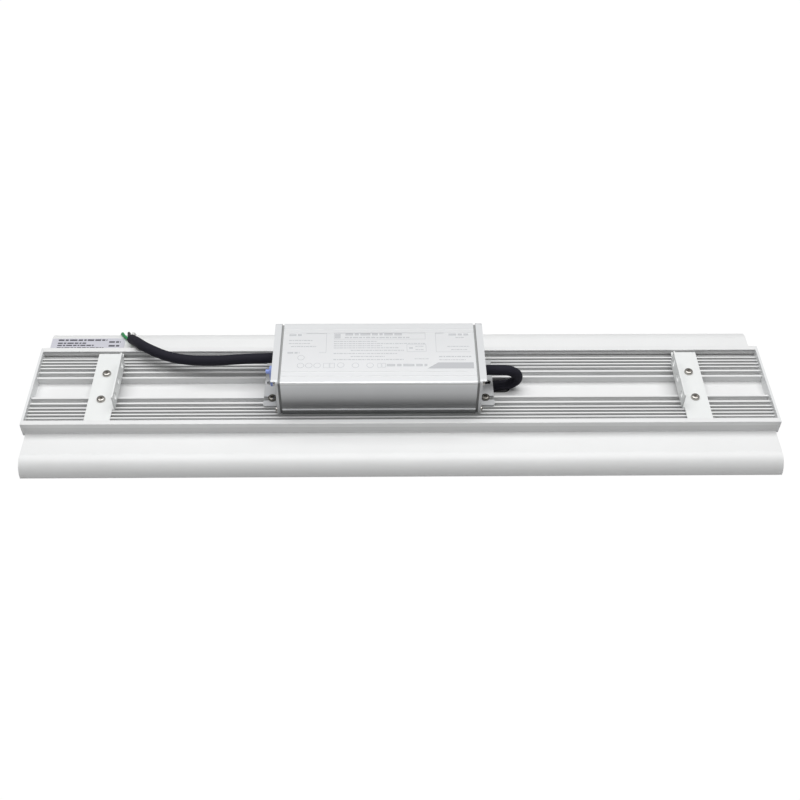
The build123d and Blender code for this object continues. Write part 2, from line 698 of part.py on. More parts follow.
def leds(side):
    """Rows of LED packages on the lower face of one board."""
    package = upright(Rectangle(LED_SIZE, LED_SIZE), BOARD_FACE - LED_HEIGHT, BOARD_FACE)
    pitch = BOARD_LENGTH / LED_COLUMNS
    packages = []
    for column in range(LED_COLUMNS):
        x = side * (BOARD_GAP / 2 + (column + 0.5) * pitch)
        packages += [Pos(x, y) * package for y in LED_ROWS]
    return Part() + packages


def board_link():
    """Low connector that joins the two boards in the middle of the light."""
    outline = Pos(0, LINK_OFFSET) * Rectangle(LINK_LENGTH, LINK_WIDTH)
    return upright(outline, BOARD_FACE - LINK_HEIGHT, BOARD_FACE)


def cover_outline(inset):
    """Plan outline of the lens cover, drawn in by an inset."""
    return RectangleRounded(2 * (COVER_END - inset), COVER_WIDTH - 2 * inset, COVER_CORNER - inset)


def lens_cover():
    """Moulded clear cover: a rim round the boards and a lens rib under each row of LEDs."""
    rim_top = UNDERSIDE - COVER_GASKET
    cover = upright(cover_outline(0), COVER_FACE, rim_top)
    cover -= upright(cover_outline(COVER_RIM), COVER_CEILING, rim_top)
    radius = (LENS_HALF_WIDTH**2 + LENS_DEPTH**2) / (2 * LENS_DEPTH)
    window = strip(-radius, radius, COVER_FACE - LENS_DEPTH, COVER_FACE)
    ribs = Sketch()
    for row in LED_ROWS:
        circle = Pos(row, COVER_FACE - LENS_DEPTH + radius) * Circle(radius)
        ribs += circle & (Pos(row, 0) * window)
    lens_end = BOARD_END
    cover += along_x(ribs, -lens_end, lens_end)
    boss = upright(Circle(COVER_BOSS / 2), COVER_CEILING, BOARD_FACE)
    cover += [place * boss for place in cover_screw_places()]
    hole = upright(Circle((COVER_SCREW + HOLE_CLEARANCE) / 2), COVER_FACE, BOARD_FACE)
    return cover - [place * hole for place in cover_screw_places()]


def cover_gasket():
    """Silicone seal between the rim of the lens cover and the heat sink."""
    return upright(cover_outline(0) - cover_outline(COVER_RIM), UNDERSIDE - COVER_GASKET, UNDERSIDE)


def cover_screws():
    """Screws from below through the cover and the boards into the base."""
    head = upright(Circle(COVER_SCREW_HEAD / 2), COVER_FACE - COVER_SCREW_HEAD_HEIGHT, COVER_FACE)
    shank = upright(Circle(COVER_SCREW / 2), COVER_FACE, UNDERSIDE + COVER_SCREW_BITE)
    return Part() + [place * (head + shank) for place in cover_screw_places()]


NODES = {
    "heat_sink": heat_sink(),
    "end_cap_left": end_cap(-1),
    "end_cap_right": end_cap(1),
    "end_cap_screws": end_cap_screws(),
    "bracket_left": bracket(-1),
    "bracket_right": bracket(1),
    "bracket_screws": bracket_screws(),
    "driver_case": driver_case(),
    "driver_potting": driver_potting(),
    "driver_gasket_left": driver_gasket(-1),
    "driver_gasket_right": driver_gasket(1),
    "driver_end_plate_left": end_plate(-1, INPUT_Y, INPUT_CABLE),
    "driver_end_plate_right": end_plate(1, DRIVER_Y, OUTPUT_CABLE),
    "driver_end_screws": driver_end_screws(),
    "driver_mounting_screws": driver_mounting_screws(),
    "adjuster_plug": adjuster_plug(),
    "input_bushing": cable_bushing(-1, INPUT_Y, INPUT_CABLE),
    "output_bushing": cable_bushing(1, DRIVER_Y, OUTPUT_CABLE),
    "input_cable": cable("input_cable", routed(INPUT_ROUTE, -1), INPUT_CABLE),
    "core_black": input_core(0, "core_black"),
    "core_white": input_core(1, "core_white"),
    "core_green": input_core(2, "core_green"),
    "output_cable": cable("output_cable", routed(OUTPUT_ROUTE, 1), OUTPUT_CABLE),
    "output_leads": output_leads(),
    "solder_joints": solder_joints(),
    "entry_grommet": entry_grommet(),
    "led_board_left": led_board(-1),
    "led_board_right": led_board(1),
    "leds_left": leds(-1),
    "leds_right": leds(1),
    "board_link": board_link(),
    "lens_cover": lens_cover(),
    "cover_gasket": cover_gasket(),
    "cover_screws": cover_screws(),
}

os.makedirs("parts", exist_ok=True)
for node, shape in NODES.items():
    export_step(shape, f"parts/{node}.step")
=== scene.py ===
import json
import logging
import math
from dataclasses import dataclass, field
from enum import Enum

import bpy
from mathutils import Matrix, Vector

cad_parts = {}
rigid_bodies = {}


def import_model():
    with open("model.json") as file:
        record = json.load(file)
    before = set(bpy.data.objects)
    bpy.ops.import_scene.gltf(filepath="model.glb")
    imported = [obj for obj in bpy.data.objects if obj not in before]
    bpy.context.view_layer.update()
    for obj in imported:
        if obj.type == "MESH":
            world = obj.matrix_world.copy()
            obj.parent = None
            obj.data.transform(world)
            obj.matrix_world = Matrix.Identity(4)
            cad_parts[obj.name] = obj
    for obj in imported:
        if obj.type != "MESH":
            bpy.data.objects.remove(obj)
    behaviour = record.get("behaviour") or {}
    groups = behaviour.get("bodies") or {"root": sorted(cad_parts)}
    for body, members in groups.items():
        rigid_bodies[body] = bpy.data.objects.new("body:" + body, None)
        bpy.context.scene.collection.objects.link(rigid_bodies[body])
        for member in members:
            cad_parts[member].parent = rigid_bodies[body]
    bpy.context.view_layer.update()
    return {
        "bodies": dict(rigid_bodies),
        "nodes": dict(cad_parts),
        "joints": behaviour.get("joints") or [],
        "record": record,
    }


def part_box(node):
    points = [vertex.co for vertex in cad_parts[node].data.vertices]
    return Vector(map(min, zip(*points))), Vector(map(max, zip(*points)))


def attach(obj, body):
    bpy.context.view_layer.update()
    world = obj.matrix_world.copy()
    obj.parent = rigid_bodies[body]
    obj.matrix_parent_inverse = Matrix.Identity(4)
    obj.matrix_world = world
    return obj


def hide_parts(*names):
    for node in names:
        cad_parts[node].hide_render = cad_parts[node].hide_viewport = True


LOG = logging.getLogger("high_bay_light")
MM = 0.001
PRINT_THICKNESS = 0.05

Point = tuple[float, float, float]
Colour = tuple[float, float, float]
Opaque = tuple[float, float, float, float]


class Stretch(Enum):
    """Direction in which the grain of a finish runs."""

    EVEN = (1.0, 1.0, 1.0)
    ALONG_LIGHT = (0.02, 1.0, 1.0)


class Shape(Enum):
    """Piece that the repeating node group copies to each point."""

    BLOCK = "block"
    DISC = "disc"


def grey(value: float) -> Opaque:
    """Makes an opaque grey of one brightness."""
    return (value, value, value, 1.0)


class Graph:
    """Short way to write a shader: adds nodes, sets their sockets and joins them."""

    def __init__(self, tree: bpy.types.NodeTree) -> None:
        """Empties the node tree of a material, a world or a geometry group."""
        self.tree = tree
        tree.nodes.clear()

    def add(self, kind: str, **values: object) -> bpy.types.Node:
        """Adds one node.

        Args:
            kind: Blender's name of the node type.
            values: node properties in lower case, and sockets by their name with spaces as underscores.

        Returns:
            The new node.
        """
        node = self.tree.nodes.new(kind)
        for key, value in values.items():
            socket = node.inputs.get(key.replace("_", " "))
            if socket is None:
                setattr(node, key, value)
            elif isinstance(value, bpy.types.NodeSocket):
                self.tree.links.new(value, socket)
            else:
                socket.default_value = value
        return node

    def join(self, source: bpy.types.NodeSocket, target: bpy.types.NodeSocket) -> None:
        """Joins an output socket to an input socket."""
        self.tree.links.new(source, target)


@dataclass(frozen=True)
class Finish:
    """Procedural surface of one kind: colour, sheen, faint unevenness and fine grain.

    The pairs in shade paint light and shade into the colour: each gives a brightness factor at a height above
    the floor, in metres, standing in for highlights, reflections and shade.
    """

    name: str
    colour: Colour
    roughness: float
    metallic: float = 0.0
    coat: float = 0.0
    transmission: float = 0.0
    sheen: float = 0.0
    specular: float = 0.5
    mottle: float = 0.03
    mottle_scale: float = 25.0
    grain: float = 0.05
    grain_scale: float = 900.0
    stretch: Stretch = Stretch.EVEN
    # Painted light and shade by height; empty for none
    shade: tuple[tuple[float, float], ...] = ()
    roughness_spread: float = 0.12
    least_roughness: float = 0.02
    grain_depth: float = 0.00005

    def shaded(self, graph: Graph, place: bpy.types.NodeSocket) -> bpy.types.NodeSocket:
        """Painted light and shade over the height: a brightness factor on the colour, from the pairs in
        shade.

        Args:
            graph: shader that is being written.
            place: Object coordinates.

        Returns:
            Socket with the painted brightness factor.
        """
        low, high = self.shade[0][0], self.shade[-1][0]
        height = graph.add("ShaderNodeSeparateXYZ", Vector=place).outputs["Z"]
        share = graph.add("ShaderNodeMapRange", Value=height, From_Min=low, From_Max=high)
        ramp = graph.add("ShaderNodeValToRGB", Fac=share.outputs["Result"])
        stops = ramp.color_ramp.elements
        stops[0].color = grey(self.shade[0][1])
        stops[1].color = grey(self.shade[-1][1])
        for level, value in self.shade[1:-1]:
            stops.new((level - low) / (high - low)).color = grey(value)
        return ramp.outputs["Color"]

    def build(self) -> bpy.types.Material:
        """Makes the material.

        Returns:
            A material whose patterns read Object coordinates.
        """
        material = bpy.data.materials.new(self.name)
        material.use_nodes = True
        graph = Graph(material.node_tree)
        place = graph.add("ShaderNodeTexCoord").outputs["Object"]
        stretched = graph.add("ShaderNodeMapping", Vector=place)
        stretched.inputs["Scale"].default_value = self.stretch.value
        clouds = graph.add("ShaderNodeTexNoise", Vector=place, Scale=self.mottle_scale, Detail=3.0)
        fine = graph.add(
            "ShaderNodeTexNoise", Vector=stretched.outputs["Vector"], Scale=self.grain_scale, Detail=2.0
        )
        tone = graph.add(
            "ShaderNodeMapRange",
            Value=clouds.outputs["Fac"],
            To_Min=1.0 - self.mottle,
            To_Max=1.0 + self.mottle,
        )
        colour = graph.add("ShaderNodeVectorMath", operation="SCALE")
        colour.inputs[0].default_value = self.colour
        graph.join(tone.outputs["Result"], colour.inputs["Scale"])
        # Paints light and shade into the colour by height
        if self.shade:
            painted_by_height = graph.add("ShaderNodeVectorMath", operation="MULTIPLY")
            graph.join(colour.outputs["Vector"], painted_by_height.inputs[0])
            graph.join(self.shaded(graph, place), painted_by_height.inputs[1])
            colour = painted_by_height
        dull = graph.add(
            "ShaderNodeMapRange",
            Value=fine.outputs["Fac"],
            To_Min=max(self.least_roughness, self.roughness * (1.0 - self.roughness_spread)),
            To_Max=min(1.0, self.roughness * (1.0 + self.roughness_spread)),
        )
        bump = graph.add(
            "ShaderNodeBump", Strength=self.grain, Distance=self.grain_depth, Height=fine.outputs["Fac"]
        )
        surface = graph.add(
            "ShaderNodeBsdfPrincipled",
            Base_Color=colour.outputs["Vector"],
            Roughness=dull.outputs["Result"],
            Normal=bump.outputs["Normal"],
            Metallic=self.metallic,
            Coat_Weight=self.coat,
            Sheen_Weight=self.sheen,
            Specular_IOR_Level=self.specular,
            Transmission_Weight=self.transmission,
        )
        graph.add("ShaderNodeOutputMaterial", Surface=surface.outputs["BSDF"])
        return material


# Finishes of the heat sink, its end caps and its brackets
# Painted shade on the heat sink: the colour is darkened to 0.89 on the fin walls between 15.2 and 20.3 mm
# above the floor, standing in for shade in the grooves, and lifted to 1.02 below 14.9 mm
FIN_SHADE = ((0.0, 1.02), (0.0149, 1.02), (0.0152, 0.89), (0.0203, 0.89), (0.0208, 1.0), (0.0250, 1.0))
EXTRUSION = Finish(
    "anodised_aluminium",
    (0.82, 0.825, 0.825),
    0.55,
    metallic=0.12,
    grain_scale=1400.0,
    stretch=Stretch.ALONG_LIGHT,
    shade=FIN_SHADE,
)
CAP = Finish("cap_aluminium", (0.80, 0.81, 0.815), 0.5, metallic=0.15, grain_scale=1200.0)
BRACKET = Finish("bracket_steel", (0.84, 0.855, 0.85), 0.5, metallic=0.1, grain_scale=1000.0)
STAINLESS = Finish("stainless_screws", (0.50, 0.48, 0.45), 0.24, metallic=1.0, grain_scale=2200.0)
# A darker copy of the screw steel for the driver's mounting screws: painted shade standing in for the dark
# surroundings these heads reflect
SHADED_SCREW_STEEL = Finish("shaded_screw_steel", (0.24, 0.23, 0.21), 0.26, metallic=1.0, grain_scale=2200.0)

# Finishes of the driver
# Painted light and shade on the driver's case, by height: a painted highlight strip on the side rib at 26.2
# to 28.3 mm, painted shade and reflection darkening the sides from 0.94 near the top down to 0.31 and 0.40 at
# the foot, a painted dark line just under the top edge, a painted highlight along the top edge and the top
# lightened to 1.13; the rear face gets the same
CASE_SHADE = (
    (0.0211, 0.40),
    (0.0260, 0.42),
    (0.0262, 1.25),
    (0.0283, 1.25),
    (0.0285, 0.50),
    (0.0320, 0.31),
    (0.0350, 0.34),
    (0.0403, 0.55),
    (0.0456, 0.73),
    (0.0552, 0.94),
    (0.0554, 0.74),
    (0.0560, 0.74),
    (0.0562, 1.25),
    (0.0573, 1.30),
    (0.0575, 1.13),
)
CASE = Finish(
    "case_aluminium", (0.78, 0.79, 0.80), 0.40, metallic=0.6, grain=0.12, grain_scale=2600.0, shade=CASE_SHADE
)
# Painted light on the driver's end plates: their tops are lightened to 1.17 and their sides darken towards
# the bottom, to 0.92
CAST_SHADE = ((0.0211, 0.92), (0.0572, 1.0), (0.0578, 1.17))
CAST = Finish(
    "cast_plate", (0.62, 0.63, 0.64), 0.48, metallic=0.3, grain=0.15, grain_scale=1800.0, shade=CAST_SHADE
)
POTTING = Finish("potting", (0.06, 0.06, 0.065), 0.5)
SEAL = Finish("seal_rubber", (0.03, 0.03, 0.032), 0.6)
# Painted shade on the driver's seals: darker below 55.5 mm, at 0.80 and down to 0.70 at the foot, with full
# brightness at the top
GASKET_SHADE = ((0.0211, 0.70), (0.0555, 0.80), (0.0562, 1.0), (0.0580, 1.0))
GASKET = Finish("gasket_rubber", (0.345, 0.35, 0.35), 0.6, specular=0.3, shade=GASKET_SHADE)
SILICONE = Finish("plug_silicone", (0.31, 0.41, 0.84), 0.45, sheen=0.2)

# Finishes of the cables
JACKET = Finish("cable_jacket", (0.020, 0.0195, 0.028), 0.7, specular=0.12, grain=0.12, grain_scale=1500.0)
CORE_BLACK = Finish("core_black", (0.02, 0.02, 0.02), 0.4)
CORE_WHITE = Finish("core_white", (0.80, 0.80, 0.78), 0.4)
CORE_GREEN = Finish("core_green", (0.03, 0.28, 0.09), 0.4)
COPPER = Finish("copper_strands", (0.78, 0.42, 0.26), 0.28, metallic=1.0)
SOLDER = Finish("solder", (0.66, 0.66, 0.67), 0.22, metallic=1.0)

# Finishes of the light side
BOARD = Finish("board_mask", (0.86, 0.87, 0.86), 0.35, coat=0.3)
LED_PACKAGE = Finish("led_resin", (0.88, 0.86, 0.78), 0.4)
PHOSPHOR = Finish("led_phosphor", (0.86, 0.66, 0.14), 0.3)
LENS = Finish("lens_plastic", (0.97, 0.98, 0.98), 0.05, transmission=1.0, mottle=0.005, grain=0.0)
WHITE_SILICONE = Finish("white_silicone", (0.78, 0.78, 0.77), 0.55)

# Finishes of the label and of the prints
LABEL = Finish("label_foil", (0.60, 0.60, 0.66), 0.5)
LABEL_INK = Finish("label_ink", (0.09, 0.09, 0.11), 0.6)
CASE_INK = Finish("case_ink", (0.60, 0.61, 0.63), 0.5, metallic=0.3)
TAG_INK = Finish("tag_ink", (0.54, 0.55, 0.57), 0.5, metallic=0.2)

NODE_FINISHES: dict[str, Finish] = {
    "heat_sink": EXTRUSION,
    "end_cap_left": CAP,
    "end_cap_right": CAP,
    "end_cap_screws": STAINLESS,
    "bracket_left": BRACKET,
    "bracket_right": BRACKET,
    "bracket_screws": STAINLESS,
    "driver_case": CASE,
    "driver_potting": POTTING,
    "driver_gasket_left": GASKET,
    "driver_gasket_right": GASKET,
    "driver_end_plate_left": CAST,
    "driver_end_plate_right": CAST,
    "driver_end_screws": STAINLESS,
    "driver_mounting_screws": SHADED_SCREW_STEEL,
    "adjuster_plug": SILICONE,
    "input_bushing": SEAL,
    "output_bushing": SEAL,
    "output_cable": JACKET,
    "output_leads": CORE_WHITE,
    "solder_joints": SOLDER,
    "entry_grommet": SEAL,
    "led_board_left": BOARD,
    "led_board_right": BOARD,
    "leds_left": LED_PACKAGE,
    "leds_right": LED_PACKAGE,
    "board_link": LED_PACKAGE,
    "lens_cover": LENS,
    "cover_gasket": WHITE_SILICONE,
    "cover_screws": STAINLESS,
}


class Paint:
    """Makes each finish once and hands out its material."""

    def __init__(self) -> None:
        """Starts with no material made."""
        self._made: dict[str, bpy.types.Material] = {}

    def of(self, finish: Finish) -> bpy.types.Material:
        """Finds or makes the material of a finish.

        Args:
            finish: surface to look up.

        Returns:
            The material, the same one each time.
        """
        if finish.name not in self._made:
            self._made[finish.name] = finish.build()
        return self._made[finish.name]


def place_object(name: str, data: bpy.types.ID) -> bpy.types.Object:
    """Adds an object at the origin of the scene.

    Args:
        name: name of the piece.
        data: mesh, curve, light or camera data.

    Returns:
        The new object.
    """
    thing = bpy.data.objects.new(name, data)
    bpy.context.scene.collection.objects.link(thing)
    return thing


def mesh_piece(name: str, points: list[Point], faces: list[tuple[int, ...]]) -> bpy.types.Object:
    """Makes a mesh object from its corners and faces.

    Args:
        name: name of the piece.
        points: corners in metres.
        faces: corner numbers of each face.

    Returns:
        The new object.
    """
    mesh = bpy.data.meshes.new(name)
    mesh.from_pydata(points, [], faces)
    mesh.update()
    return place_object(name, mesh)


@dataclass(frozen=True)
class RepeatedPiece:
    """One piece copied to every vertex of a base mesh by a geometry node group."""

    name: str
    shape: Shape
    finish: Finish
    size: Point
    axis: Point = (0.0, 0.0, 1.0)
    sides: int = 16

    def group(self) -> bpy.types.NodeTree:
        """Builds the node group with its named inputs.

        Returns:
            The geometry node group.
        """
        tree = bpy.data.node_groups.new(f"repeat_{self.name}", "GeometryNodeTree")
        graph = Graph(tree)
        face = tree.interface
        face.new_socket("Geometry", in_out="INPUT", socket_type="NodeSocketGeometry")
        face.new_socket("Piece Size", in_out="INPUT", socket_type="NodeSocketVector")
        face.new_socket("Axis", in_out="INPUT", socket_type="NodeSocketVector")
        face.new_socket("Material", in_out="INPUT", socket_type="NodeSocketMaterial")
        face.new_socket("Geometry", in_out="OUTPUT", socket_type="NodeSocketGeometry")
        given = graph.add("NodeGroupInput")
        if self.shape is Shape.BLOCK:
            unit = graph.add("GeometryNodeMeshCube").outputs["Mesh"]
        else:
            disc = graph.add("GeometryNodeMeshCylinder", Vertices=self.sides, Radius=0.5, Depth=1.0)
            unit = disc.outputs["Mesh"]
        sized = graph.add("GeometryNodeTransform", Geometry=unit, Scale=given.outputs["Piece Size"])
        turn = graph.add("FunctionNodeAlignRotationToVector", axis="Z", Vector=given.outputs["Axis"])
        stretch = graph.add("GeometryNodeInputNamedAttribute", data_type="FLOAT_VECTOR", Name="stretch")
        copies = graph.add(
            "GeometryNodeInstanceOnPoints",
            Points=given.outputs["Geometry"],
            Instance=sized.outputs["Geometry"],
            Rotation=turn.outputs["Rotation"],
            Scale=stretch.outputs["Attribute"],
        )
        solid = graph.add("GeometryNodeRealizeInstances", Geometry=copies.outputs["Instances"])
        painted = graph.add(
            "GeometryNodeSetMaterial", Geometry=solid.outputs["Geometry"], Material=given.outputs["Material"]
        )
        graph.add("NodeGroupOutput", Geometry=painted.outputs["Geometry"])
        return tree

    def build(
        self, paint: Paint, places: list[Point], stretches: list[Point] | None = None
    ) -> bpy.types.Object:
        """Makes the copies as one mesh object.

        Args:
            paint: source of materials.
            places: middle of each copy, in metres.
            stretches: size of each copy as a share of the piece size, or None for full size.

        Returns:
            The finished object with no modifier left on it.
        """
        base = mesh_piece(self.name, places, [])
        shares = stretches or [(1.0, 1.0, 1.0)] * len(places)
        attribute = base.data.attributes.new("stretch", "FLOAT_VECTOR", "POINT")
        attribute.data.foreach_set("vector", [value for share in shares for value in share])
        modifier = base.modifiers.new("repeat", "NODES")
        modifier.node_group = self.group()
        sockets = {item.name: item.identifier for item in modifier.node_group.interface.items_tree}
        modifier[sockets["Piece Size"]] = self.size
        modifier[sockets["Axis"]] = self.axis
        modifier[sockets["Material"]] = paint.of(self.finish)
        seen = base.evaluated_get(bpy.context.evaluated_depsgraph_get())
        mesh = bpy.data.meshes.new_from_object(seen)
        base.modifiers.clear()
        base.data = mesh
        return base


@dataclass(frozen=True)
class Mark:
    """One printed rectangle, by its middle and its size in millimetres."""

    x: float
    y: float
    length: float
    width: float


DASH_RHYTHM = (2.6, 1.4, 3.4, 2.0, 1.1, 2.9)
DASH_GAP = 0.5


def words(start: float, end: float, y: float, height: float) -> list[Mark]:
    """Breaks a printed row into short dashes of a fixed rhythm.

    Args:
        start: left end of the row in millimetres.
        end: right end of the row in millimetres.
        y: middle of the row across the light in millimetres.
        height: height of the row in millimetres.

    Returns:
        The dashes of the row.
    """
    marks: list[Mark] = []
    place = start
    while place < end:
        length = min(DASH_RHYTHM[len(marks) % len(DASH_RHYTHM)] * height, end - place)
        marks.append(Mark(place + length / 2, y, length, height))
        place += length + DASH_GAP * height
    return marks


def border(start: float, end: float, near: float, far: float, line: float) -> list[Mark]:
    """Draws the four sides of a printed box.

    Args:
        start: left side in millimetres.
        end: right side in millimetres.
        near: side towards the viewer in millimetres.
        far: side away from the viewer in millimetres.
        line: width of the line in millimetres.

    Returns:
        The four sides.
    """
    middle_x, middle_y = (start + end) / 2, (near + far) / 2
    return [
        Mark(middle_x, near, end - start, line),
        Mark(middle_x, far, end - start, line),
        Mark(start, middle_y, line, far - near),
        Mark(end, middle_y, line, far - near),
    ]


@dataclass
class SubAssembly:
    """Part of the light that is dressed by itself. Its sizes are in millimetres."""

    frame: dict
    paint: Paint

    def add(self, piece: bpy.types.Object, slot: str) -> bpy.types.Object:
        """Fixes a piece to the light.

        Args:
            piece: finished object.
            slot: material slot of the record; not used.

        Returns:
            The same object.
        """
        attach(piece, "root")
        LOG.info("made %s", piece.name)
        return piece

    def printed(self, name: str, marks: list[Mark], heights: list[float], finish: Finish) -> bpy.types.Object:
        """Makes printed marks as thin blocks.

        Args:
            name: name of the piece.
            marks: rectangles of the print.
            heights: height of the surface under each mark in millimetres.
            finish: surface of the ink.

        Returns:
            The object with all marks.
        """
        places = [(mark.x * MM, mark.y * MM, height * MM) for mark, height in zip(marks, heights)]
        stretches = [(mark.length, mark.width, 1.0) for mark in marks]
        blocks = RepeatedPiece(name, Shape.BLOCK, finish, (MM, MM, PRINT_THICKNESS * MM))
        return blocks.build(self.paint, places, stretches)

    def dress(self) -> None:
        """Adds the pieces of the sub-assembly."""
        raise NotImplementedError


class SolidParts(SubAssembly):
    """Every rigid node, in its own finish."""

    def dress(self) -> None:
        """Gives each node its material."""
        for name, finish in NODE_FINISHES.items():
            materials = self.frame["nodes"][name].data.materials
            materials.clear()
            materials.append(self.paint.of(finish))
            LOG.info("dressed %s in %s", name, finish.name)


@dataclass
class WingLabel(SubAssembly):
    """Plain foil label on the rear wing with rows of short bars.

    A row holds its start and its end as shares of the length, its place as a share of the width, from the
    rear, and its height in millimetres.
    """

    end_gap: float = 0.5
    length: float = 62.2
    near: float = 53.0
    far: float = 65.3
    thickness: float = 0.12
    steps: int = 12
    bend_radius: float = 13.0
    wing_top: float = 13.6
    start: float = field(init=False)
    bend_centre: float = field(init=False)
    rows: tuple[tuple[float, float, float, float], ...] = (
        (0.085, 0.75, 0.17, 1.9),
        (0.085, 0.47, 0.47, 1.6),
        (0.085, 0.58, 0.69, 1.5),
        (0.085, 0.72, 0.92, 1.3),
        (0.78, 0.94, 0.36, 1.9),
        (0.785, 0.93, 0.74, 2.0),
    )

    def __post_init__(self) -> None:
        """Takes the label's left end and the middle of the wing's bend from the frame."""
        low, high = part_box("heat_sink")
        self.start = low[0] / MM + self.end_gap
        self.bend_centre = high[1] / MM - self.bend_radius

    def height(self, y: float) -> float:
        """Height of the wing's surface at a place across the light."""
        past = max(0.0, y - self.bend_centre)
        return self.wing_top - self.bend_radius + math.sqrt(self.bend_radius**2 - past**2)

    def foil(self) -> bpy.types.Object:
        """Makes the thin plate that follows the wing.

        Returns:
            The label object.
        """
        points: list[Point] = []
        for step in range(self.steps + 1):
            y = self.near + (self.far - self.near) * step / self.steps
            for lift in (0.0, self.thickness):
                for x in (self.start, self.start + self.length):
                    points.append((x * MM, y * MM, (self.height(y) + lift) * MM))
        faces: list[tuple[int, ...]] = [(0, 1, 3, 2)]
        for step in range(self.steps):
            low = 4 * step
            high = low + 4
            faces += [
                (low + 2, low + 3, high + 3, high + 2),
                (low, high, high + 1, low + 1),
                (low, low + 2, high + 2, high),
                (low + 1, high + 1, high + 3, low + 3),
            ]
        last = 4 * self.steps
        faces.append((last, last + 2, last + 3, last + 1))
        return mesh_piece("wing_label", points, faces)

    def dress(self) -> None:
        """Adds the foil and its bars."""
        foil = self.foil()
        foil.data.materials.append(self.paint.of(LABEL))
        self.add(foil, "cap_aluminium")
        marks: list[Mark] = []
        for start, end, down, height in self.rows:
            y = self.far - down * (self.far - self.near)
            marks += words(self.start + self.length * start, self.start + self.length * end, y, height)
        heights = [self.height(mark.y) + self.thickness for mark in marks]
        self.add(self.printed("label_rows", marks, heights, LABEL_INK), "seal_rubber")


@dataclass
class DriverPrint(SubAssembly):
    """Faint printing on top of the driver: boxes, rows of dashes, round marks and a slanted tag.

    A box holds its left, right, near and far sides. A row holds its start, its end, its place across the
    light and its height.
    """

    top: float = field(init=False)
    line: float = 0.35
    boxes: tuple[tuple[float, float, float, float], ...] = (
        (-54.3, 18.6, 18.1, 25.4),
        (3.8, 19.0, 4.0, 11.8),
        (-62.0, -57.6, -13.9, -8.9),
        (-57.0, -53.4, -13.9, -8.9),
        (-19.5, -16.8, -13.6, -9.2),
        (-16.2, -13.4, -13.6, -9.2),
    )
    lines: tuple[Mark, ...] = (
        Mark(-68.7, 25.0, 16.4, 0.3),
        Mark(-60.5, 14.0, 0.3, 22.0),
        Mark(-63.2, 3.0, 5.4, 0.3),
        Mark(27.0, 14.3, 0.3, 21.7),
        Mark(30.4, 25.2, 6.8, 0.3),
        Mark(40.7, 3.5, 27.4, 0.3),
    )
    rows: tuple[tuple[float, float, float, float], ...] = (
        (-90.5, -79.5, 23.1, 2.2),
        (-90.5, -71.5, 16.8, 0.9),
        (-90.5, -73.5, 13.4, 0.9),
        (-88.5, -68.5, 10.0, 0.9),
        (-91.0, -81.5, 2.8, 1.8),
        (-45.5, 0.0, 23.6, 2.4),
        (-46.0, 6.0, 20.0, 1.3),
        (-54.5, -20.0, 15.6, 0.9),
        (-54.5, 18.5, 13.0, 0.9),
        (-54.5, -16.0, 10.6, 0.9),
        (-54.5, -3.0, 8.2, 0.9),
        (-41.0, 1.5, 5.4, 0.9),
        (-54.5, -4.0, 1.9, 0.9),
        (-41.0, -14.0, -1.5, 0.9),
        (-54.5, 1.0, -4.9, 0.9),
        (9.5, 21.0, -4.3, 0.7),
        (5.5, 8.5, 7.9, 1.6),
        (10.5, 17.0, 9.8, 0.8),
        (10.5, 17.0, 6.0, 0.8),
        (37.5, 53.5, 23.3, 2.4),
        (43.0, 50.0, 19.8, 0.8),
        (36.0, 53.5, 9.6, 0.8),
        (39.0, 52.0, 6.0, 0.8),
        (29.0, 54.5, -1.9, 1.1),
        (29.0, 50.0, -5.4, 0.8),
        (-12.5, 19.5, -11.2, 2.6),
    )
    rounds: tuple[tuple[float, float], ...] = (
        (-80.0, -11.3),
        (-73.5, -11.3),
        (-67.0, -11.3),
        (-48.5, -11.0),
        (-37.0, -11.3),
        (-25.5, -11.3),
        (-80.0, -2.6),
    )
    round_size: float = 5.6
    ring_width: float = 0.45
    ring_sides: int = 32
    field_thickness: float = 0.08
    tag: tuple[tuple[float, float], ...] = ((19.5, -15.0), (56.0, -15.0), (56.0, -8.4), (28.0, -8.4))
    tag_thickness: float = 0.03
    solid_mark: Mark = Mark(-51.6, 21.8, 4.6, 5.2)

    def __post_init__(self) -> None:
        """Takes the height of the case's top from the frame."""
        self.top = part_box("driver_case")[1][2] / MM

    def rings(self) -> None:
        """Adds the round marks, each a disc of ink under a smaller disc of the case's own finish."""
        places = [(x * MM, y * MM, self.top * MM) for x, y in self.rounds]
        outer, inner = self.round_size, self.round_size - 2 * self.ring_width
        for name, finish, size, thickness in (
            ("driver_rounds", CASE_INK, outer, PRINT_THICKNESS),
            ("driver_round_fields", CASE, inner, self.field_thickness),
        ):
            disc = RepeatedPiece(
                name, Shape.DISC, finish, (size * MM, size * MM, thickness * MM), sides=self.ring_sides
            )
            self.add(disc.build(self.paint, places), "case_aluminium")

    def slanted_tag(self) -> None:
        """Adds the filled tag with one slanted end."""
        levels = (self.top, self.top + self.tag_thickness)
        points = [(x * MM, y * MM, level * MM) for level in levels for x, y in self.tag]
        faces = [(3, 2, 1, 0), (4, 5, 6, 7), (0, 1, 5, 4), (1, 2, 6, 5), (2, 3, 7, 6), (3, 0, 4, 7)]
        tag = mesh_piece("driver_tag", points, faces)
        tag.data.materials.append(self.paint.of(TAG_INK))
        self.add(tag, "case_aluminium")

    def dress(self) -> None:
        """Adds the boxes, the rows, the round marks and the tag."""
        marks = [self.solid_mark, *self.lines]
        for start, end, near, far in self.boxes:
            marks += border(start, end, near, far, self.line)
        for start, end, y, height in self.rows:
            marks += words(start, end, y, height)
        heights = [self.top] * len(marks)
        self.add(self.printed("driver_print", marks, heights, CASE_INK), "case_aluminium")
        self.rings()
        self.slanted_tag()


